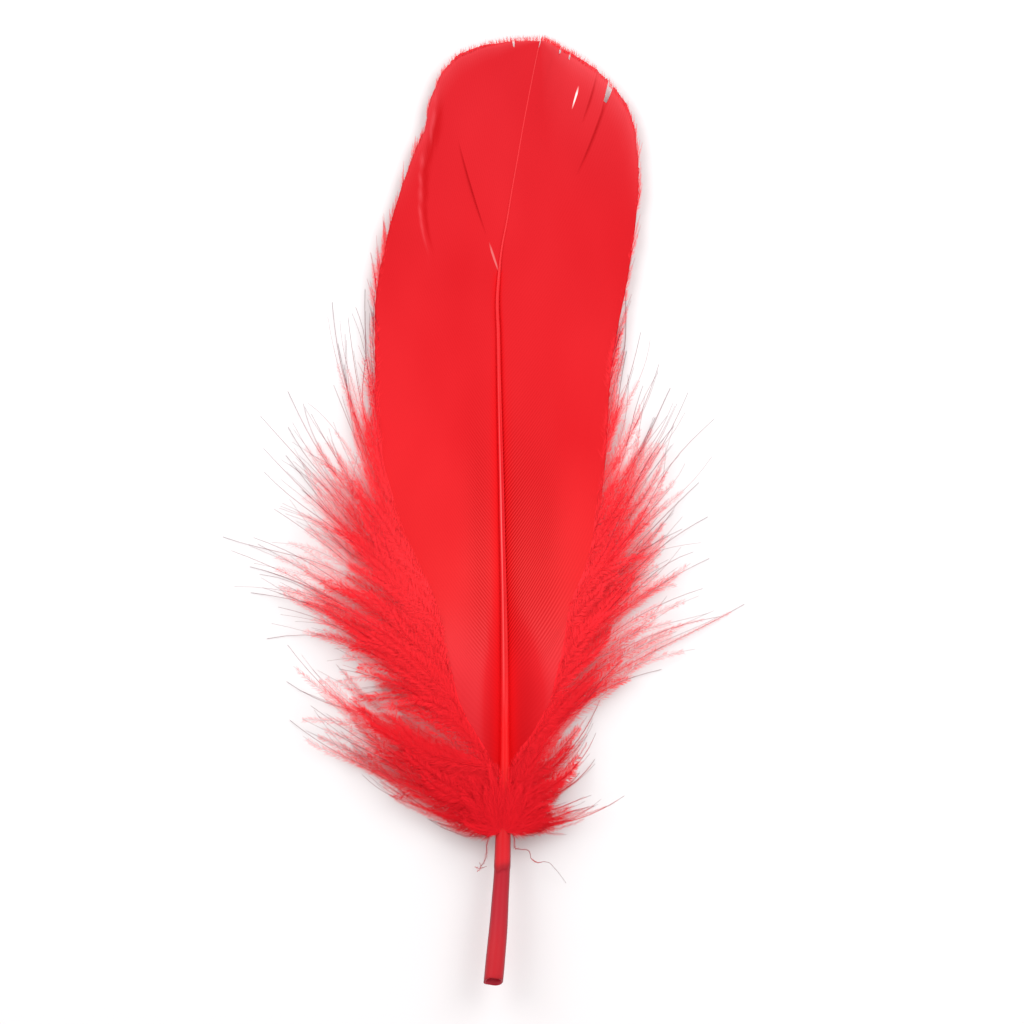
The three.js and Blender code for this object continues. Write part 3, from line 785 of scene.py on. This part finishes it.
# Stretches of places among the locks, each with a value. The first two make inner barbs and the
# others longer, as a share of the whole and of what is missing. The third is how far leading barbs
# are fluffy. The rest are factors for the length and breadth of the barbules, and the share of the
# barbs that is kept.
INNER_LONGER = {-1: [(22.2, 26.2, 0.12)], 1: [(15, 20, -0.1), (20, 22, 0.1)]}
OUTER_LONGER = {-1: [(24, 34, 0.4)], 1: []}
FLUFFY_LEADERS = {-1: [], 1: [(16, 19, 0.94), (19, 28, 0.94)]}
SHORT_BLADES = {-1: [(30, 34, 0.5)], 1: [(19.4, 28, 0.4)]}
SHORT_LEADER_BLADES = {-1: [], 1: [(16, 28, 0.5)]}
FINE_BLADES = {-1: [(8.5, 19.5, 0.7)], 1: []}
THINNED = {-1: [(11.5, 19.5, 0.7)], 1: [(21, 28, 0.5), (0, 12, 0.85)]}

# On the left the barbules grow finer upwards. From a place on, the barbs lie calm. On the right
# the short barbs follow the curve of their lock, and on the left they are straight.
FINER_UPWARDS = {-1: 0.011, 1: 0}
CALM_FROM = {-1: 29.5, 1: 17.5}
HUG = {-1: 0, 1: 1}
BARB_STEPS = 16
BARB_CLEAR = 0.08
BARB_TOP_Z = 7.8

# The kinds of barbs: one in each lock, two beside each, and longer and shorter ones between them.
LEADER, FOLLOWER, BETWEEN, INNER = range(4)


def lock_curves(locks, skirt, side):
    """Root, middle and tip of each lock, as the solid has them."""
    tips = np.array(locks, float)
    tip_x, tip_y, tip_z, bow, width = tips.T
    bow = bow * side
    share = np.linspace(0, 1, len(skirt))
    place = np.linspace(0, 1, len(locks))
    skirt_x, skirt_y = np.array(skirt, float).T
    root_x = profile(list(zip(share, skirt_x)))(place)
    root_y = profile(list(zip(share, skirt_y)))(place)
    root_z = np.maximum(vane_z(root_x, root_y), width * 0.2)
    middle = np.stack([
        (root_x + tip_x) / 2 + bow * (tip_y - root_y),
        (root_y + tip_y) / 2 - bow * (tip_x - root_x),
        0.3 * root_z + 0.9 * tip_z,
    ], -1)
    return np.stack([root_x, root_y, root_z], -1), middle, tips[:, :3]


VANES_LOW_Y = -42.5
UNDER_VANE = 0.35
left_edge = profile([(y, x) for _, x, y in LEFT_RIBS if y < 50])
right_edge = profile([(y, x) for _, x, y in RIGHT_RIBS if y < 50])


def tucked(points):
    """Points lowered so that they pass under the vanes and come up again past their edges."""
    x, y, z = np.moveaxis(points, -1, 0)
    overlap = 1.1 + 1.4 * np.clip((-32 - y) / 10, 0, 1)
    beyond = np.maximum(np.maximum(left_edge(y) - x, x - right_edge(y)) + overlap, 0)
    below_vanes = np.maximum(VANES_LOW_Y - y, 0)
    ceiling = vane_z(x, y) - UNDER_VANE + beyond + below_vanes
    return np.stack([x, y, np.maximum(np.minimum(z, ceiling), SHEET_CLEAR)], -1)


def bent_paths(base, bend, aim, sway):
    """Barbs from base to aim that bend towards a third point and sway a little."""
    t = np.linspace(0, 1, BARB_STEPS)[None, :, None]
    base, bend, aim = (point[:, None] for point in (base, bend, aim))
    paths = (1 - t) ** 2 * base + 2 * t * (1 - t) * bend + t**2 * aim
    run = (aim - base) / np.linalg.norm(aim - base, axis=-1, keepdims=True)
    sideways = np.cross(run, (0, 0, 1.0))
    one_each = (len(paths), 1, 1)
    waves = chance.uniform(0.4, 1.3, one_each)
    swing = np.sin(2 * np.pi * (t * waves + chance.uniform(0, 1, one_each)))
    paths = paths + sideways * swing * chance.normal(0, 1, one_each) * sway * t * (1.2 - 0.5 * t)
    paths[..., 2] = np.clip(paths[..., 2], BARB_CLEAR, BARB_TOP_Z)
    return tucked(paths)


def fan(curves, places, shares, wild, hug):
    """Barbs in and between locks, at places that count locks, with shares of their length."""
    i = np.minimum(places.astype(int), len(curves[0]) - 2)
    part = (places - i)[:, None]
    base, bend, aim = (point[i] * (1 - part) + point[i + 1] * part for point in curves)
    loose = (wild * (shares < 1) * np.minimum(shares * 1.6, 1))[:, None]
    t = shares[:, None]
    straight = base + (aim - base) * t
    curved = (1 - t) ** 2 * base + 2 * t * (1 - t) * bend + t**2 * aim
    aim = straight + (curved - straight) * hug
    bend = base + (bend - base) * t
    sideways = np.cross(aim - base, (0, 0, 1.0))
    sideways /= np.linalg.norm(sideways, axis=-1, keepdims=True)
    inward = (base - bend) / np.linalg.norm(base - bend, axis=-1, keepdims=True)
    one_each = (len(places), 1)
    base = base + inward * chance.uniform(-0.3, 0.6, one_each) + chance.normal(0, 0.3, (len(places), 3))
    bend = bend + sideways * chance.normal(0, 1.7, one_each) * loose
    aim = aim + sideways * chance.normal(0, 1.6, one_each) * loose
    bend[:, 2:] += chance.normal(0, 0.35, one_each) * t
    aim[:, 2:] += chance.normal(0, 0.7, one_each) * loose
    return bent_paths(base, bend, aim, 0.9 * (wild * shares)[:, None, None])


def banded(places, bands, rest):
    """A value for each place: the one of the stretch it lies in, or else the rest."""
    values = np.zeros(len(places)) + rest
    for start, end, value in bands:
        values = np.where((places > start) & (places < end), value, values)
    return values


def lock_barbs(locks, skirt, side):
    """All barbs of one side: their places, which of them are kept, and what down_mesh needs."""
    curves = lock_curves(locks, skirt, side)
    last = len(locks) - 1
    leaders = np.arange(last + 1.0)
    followers = np.clip(np.repeat(leaders, 2) + chance.normal(0, 0.16, 2 * last + 2), 0, last)
    between, within = (np.arange(4 * last) + chance.uniform(0, 1, (2, 4 * last))) / 4
    groups = (leaders, followers, between, within)
    places = np.concatenate(groups)
    kind = np.repeat([LEADER, FOLLOWER, BETWEEN, INNER], [len(group) for group in groups])
    leading = kind == LEADER
    inner = kind == INNER
    high = np.clip((curves[0][places.astype(int), 1] + 24) / 30, 0, 1)

    shares = np.concatenate([
        np.ones(len(leaders)),
        chance.uniform(0.8, 0.97, len(followers)),
        chance.uniform(0.55, 0.93, len(between)),
        chance.uniform(0.22, 0.5, len(within)),
    ])
    shares += inner * 0.14 * (1 - high)
    shares += inner * banded(places, INNER_LONGER[side], 0)
    fluffy = np.concatenate([
        chance.uniform(0.68, 0.84, len(leaders)),
        chance.uniform(0.76, 0.94, len(followers)),
        chance.uniform(0.86, 1, len(between)),
        chance.uniform(0.9, 1, len(within)),
    ])
    fluffy -= np.where(shares > 0.79, 0.17 * high, 0)
    shares += ~inner * (1 - shares) * banded(places, OUTER_LONGER[side], 0)
    fluffy = np.where(leading, banded(places, FLUFFY_LEADERS[side], fluffy), fluffy)
    shares = np.where(leading, 1, np.minimum(shares, np.interp(places, *np.array(SHORT_BARBS[side]).T)))
    wild = np.where(places > CALM_FROM[side], 0.45, 1.7 - 0.8 * high)
    paths = fan(curves, places, shares, wild, HUG[side])

    kept = chance.uniform(0, 1, len(places)) > 0.9 * np.clip(high * 1.5 - 0.5, 0, 1)
    for start, end, share in THINNED[side]:
        thinned = (places > start) & (places < end) & ~inner
        kept &= ~thinned | (chance.uniform(0, 1, len(places)) < share)
    kept |= leading | (kind == FOLLOWER)

    thick = np.where(leading, 0.15, 0.1)
    long = np.where(inner, 2.8, 2.3) - 0.8 * high
    long *= np.where(inner, 1, banded(places, SHORT_BLADES[side], 1))
    long *= np.where(leading, banded(places, SHORT_LEADER_BLADES[side], 1), 1)
    broad = np.where(inner, 0.062, 0.03 - FINER_UPWARDS[side] * high)
    broad *= np.where(inner, 1, banded(places, FINE_BLADES[side], 1))
    return places, kept, (paths, fluffy, thick, long, broad, inner)


def down_mesh(paths, fluffy, thick, long, broad, inner):
    """Threads and barbules of a group of barbs, as one mesh. The inner ones are denser."""
    t = np.linspace(0, 1, BARB_STEPS)[None]
    fluffy_end = fluffy[:, None]
    bare = 0.05 + 0.4 * np.clip((t - 0.3) / 0.35, 0, 1)
    bare = bare * np.where(inner, 0.3, 1)[:, None]
    bare = bare + 0.7 * np.clip((t - 0.7 * fluffy_end) / (1 - 0.5 * fluffy_end), 0, 1)
    threads, thread_faces = hair_tubes(paths, thick[:, None] * (1 - 0.6 * t))
    fluff, fluff_faces, shade = barbules(paths, fluffy, np.where(inner, 0.037, 0.053), long, broad)
    points = np.concatenate([threads, tucked(fluff)])
    faces = np.concatenate([thread_faces, fluff_faces + len(threads)])
    return points, faces, {"bare": np.concatenate([np.repeat(bare.ravel(), HAIR_SIDES), shade])}


downy = soft_finish("down", dye(96, 48, 62))
for name, locks, skirt, side, parts in (
    ("left_down", LEFT_LOCKS, LEFT_SKIRT, -1, ("upper", "middle", "lower")),
    ("right_down", RIGHT_LOCKS, RIGHT_SKIRT, 1, ("upper", "lower")),
):
    places, kept, barbs = lock_barbs(locks, skirt, side)
    locks_per_part = (len(locks) - 1) / len(parts)
    for number, part in enumerate(parts):
        here = kept & (np.minimum(places // locks_per_part, len(parts) - 1) == number)
        points, faces, marks = down_mesh(*(values[here] for values in barbs))
        add_piece(f"{name}_{part}", points, faces, downy, marks)

# ---- Tuft at the foot ----
# The lowest barbs grow so close together that they hide the shaft. Most sweep outwards and up,
# and a few stray ones hang down beside the quill.

FOOT_BARBS = 320
FOOT_LOW_Y = -54.4
FOOT_HEIGHT = 11
side = chance.choice([-1.0, 1.0], FOOT_BARBS)
root_y = FOOT_LOW_Y + FOOT_HEIGHT * chance.uniform(0, 1, FOOT_BARBS) ** 1.9
over = shaft_half_width(root_y)
low = np.clip((-48.5 - root_y) / 2.5, 0, 1)
offset = over * chance.uniform(0.75 - 0.7 * low, 1)
base = np.stack([
    shaft_x(root_y) + side * offset,
    root_y,
    shaft_z(root_y) + over * (1.1 * low - 0.2),
], -1)
steep = (low > 0.5) & (chance.uniform(0, 1, FOOT_BARBS) < 0.45)
rise = np.where(steep, chance.uniform(1.1, 1.6, FOOT_BARBS), chance.uniform(0.15, 1.05, FOOT_BARBS))
drop = np.where(steep, 0.35, 1) * chance.uniform(-0.25, 0, FOOT_BARBS)
reach = chance.uniform(3.5, 8, FOOT_BARBS)
way = np.stack([side * np.cos(rise), np.sin(rise), drop], -1)
aim = base + way * reach[:, None]
bend = base + way * reach[:, None] * 0.5
bend += np.stack([side * 0.4 * ~steep, -0.14 * reach * ~steep, over * 0.5 * low], -1)
bend[:, 1] = np.maximum(bend[:, 1], FOOT_Y)
paths = bent_paths(base, bend, aim, 0.25)
fluffy, thick, long, broad = (np.full(FOOT_BARBS, value) for value in (1, 0.08, 1.2, 0.05))
points, faces, marks = down_mesh(paths, fluffy, thick, long, broad, np.zeros(FOOT_BARBS, bool))
marks["bare"] *= 0.4
add_piece("foot_tuft", points, faces, downy, marks)

# Each stray barb is a list of points X, Y and Z that it passes through.
STRAYS = [
    [(-1.9, -60.3, 3.9), (-0.9, -60.5, 4.1), (0.1, -60.2, 3.9)],
    [(-1.5, -61.1, 3.9), (-0.9, -60.4, 4.1), (-1.1, -59.6, 3.9)],
    [(2, -53.2, 5), (0.4, -55.4, 5.6), (0, -58.6, 5.6), (-0.9, -60.2, 4)],
    [(3.8, -53.2, 5), (4.8, -55.4, 5.4), (5, -57.1, 5), (7, -57.4, 4.6), (7.6, -58.8, 4.2)],
    [(7.6, -58.8, 4.2), (8.8, -59.6, 3.6), (10.2, -59.5, 3), (11.7, -60.7, 2), (13.6, -63.2, 1.2)],
    [(3.6, -53.6, 5), (5.8, -54.6, 5), (8.3, -54.8, 4.4), (10.2, -53.4, 3.6)],
    [(1.6, -54.2, 5), (-1.4, -55.1, 4.4), (-6, -54.2, 3.4), (-9.9, -52.2, 2.4)],
]
stray_paths = []
for stray in STRAYS:
    knots = np.linspace(0, 1, len(stray))
    steps = np.linspace(0, 1, BARB_STEPS)
    coordinates = [profile(list(zip(knots, axis)))(steps) for axis in np.array(stray, float).T]
    stray_paths.append(np.stack(coordinates, -1))
fluffy = np.array([1, 1, 1, 0.99, 0.4, 0.5, 0.8])
thick = np.array([0.1, 0.1, 0.15, 0.15, 0.13, 0.12, 0.12])
long = np.array([0.4, 0.4, 0.6, 0.5, 0.3, 0.6, 0.8])
broad = np.full(len(STRAYS), 0.03)
inner = np.zeros(len(STRAYS), bool)
points, faces, marks = down_mesh(np.stack(stray_paths), fluffy, thick, long, broad, inner)
marks["bare"] = 0.45 + 0.55 * marks["bare"]
add_piece("stray_barbs", points, faces, downy, marks)

# ---- Table, lamps and camera ----
# A plain white table under a soft sky of light, with one wide lamp high on each side. The camera
# looks straight down on the feather from high above it.

TABLE_HALF = 1.5
table_mesh = bpy.data.meshes.new("table")
corners = [(-1, -1), (1, -1), (1, 1), (-1, 1)]
table_mesh.from_pydata([(x * TABLE_HALF, y * TABLE_HALF, 0) for x, y in corners], [], [(0, 1, 2, 3)])
table = bpy.data.objects.new("table", table_mesh)
table.location.z = -0.02 * MM
bpy.context.collection.objects.link(table)
white, tree, shader = new_finish("table_white", 0.8, 0.2)
shader.inputs["Base Color"].default_value = (0.78, 0.78, 0.785, 1)
table_mesh.materials.append(white)
table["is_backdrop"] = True

scene = bpy.context.scene
scene.view_settings.view_transform = "Standard"
world = bpy.data.worlds.new("sky")
world.use_nodes = True
world.node_tree.nodes["Background"].inputs["Color"].default_value = (1, 0.94, 0.94, 1)
world.node_tree.nodes["Background"].inputs["Strength"].default_value = 0.84
scene.world = world


def add_lamp(name, place, size, power):
    """A square soft lamp that points at the middle of the feather."""
    light = bpy.data.lights.new(name, "AREA")
    light.size = size
    light.energy = power
    lamp = bpy.data.objects.new(name, light)
    lamp.location = place
    aim = -lamp.location.normalized()
    lamp.rotation_euler = aim.to_track_quat("-Z", "Y").to_euler()
    bpy.context.collection.objects.link(lamp)


add_lamp("lamp_right", (0.32, 0.3, 0.42), 0.4, 2.0)
add_lamp("lamp_left", (-0.36, 0.3, 0.42), 0.4, 1.8)

CAMERA_HEIGHT = 1.2
VIEW_WIDTH = 174.08 * MM
SENSOR_WIDTH = 36
camera_data = bpy.data.cameras.new("camera")
camera_data.sensor_width = SENSOR_WIDTH
camera_data.lens = SENSOR_WIDTH * CAMERA_HEIGHT / VIEW_WIDTH
camera = bpy.data.objects.new("camera", camera_data)
camera.location = (4.42 * MM, -0.17 * MM, CAMERA_HEIGHT)
bpy.context.collection.objects.link(camera)
scene.camera = camera

low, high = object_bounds()
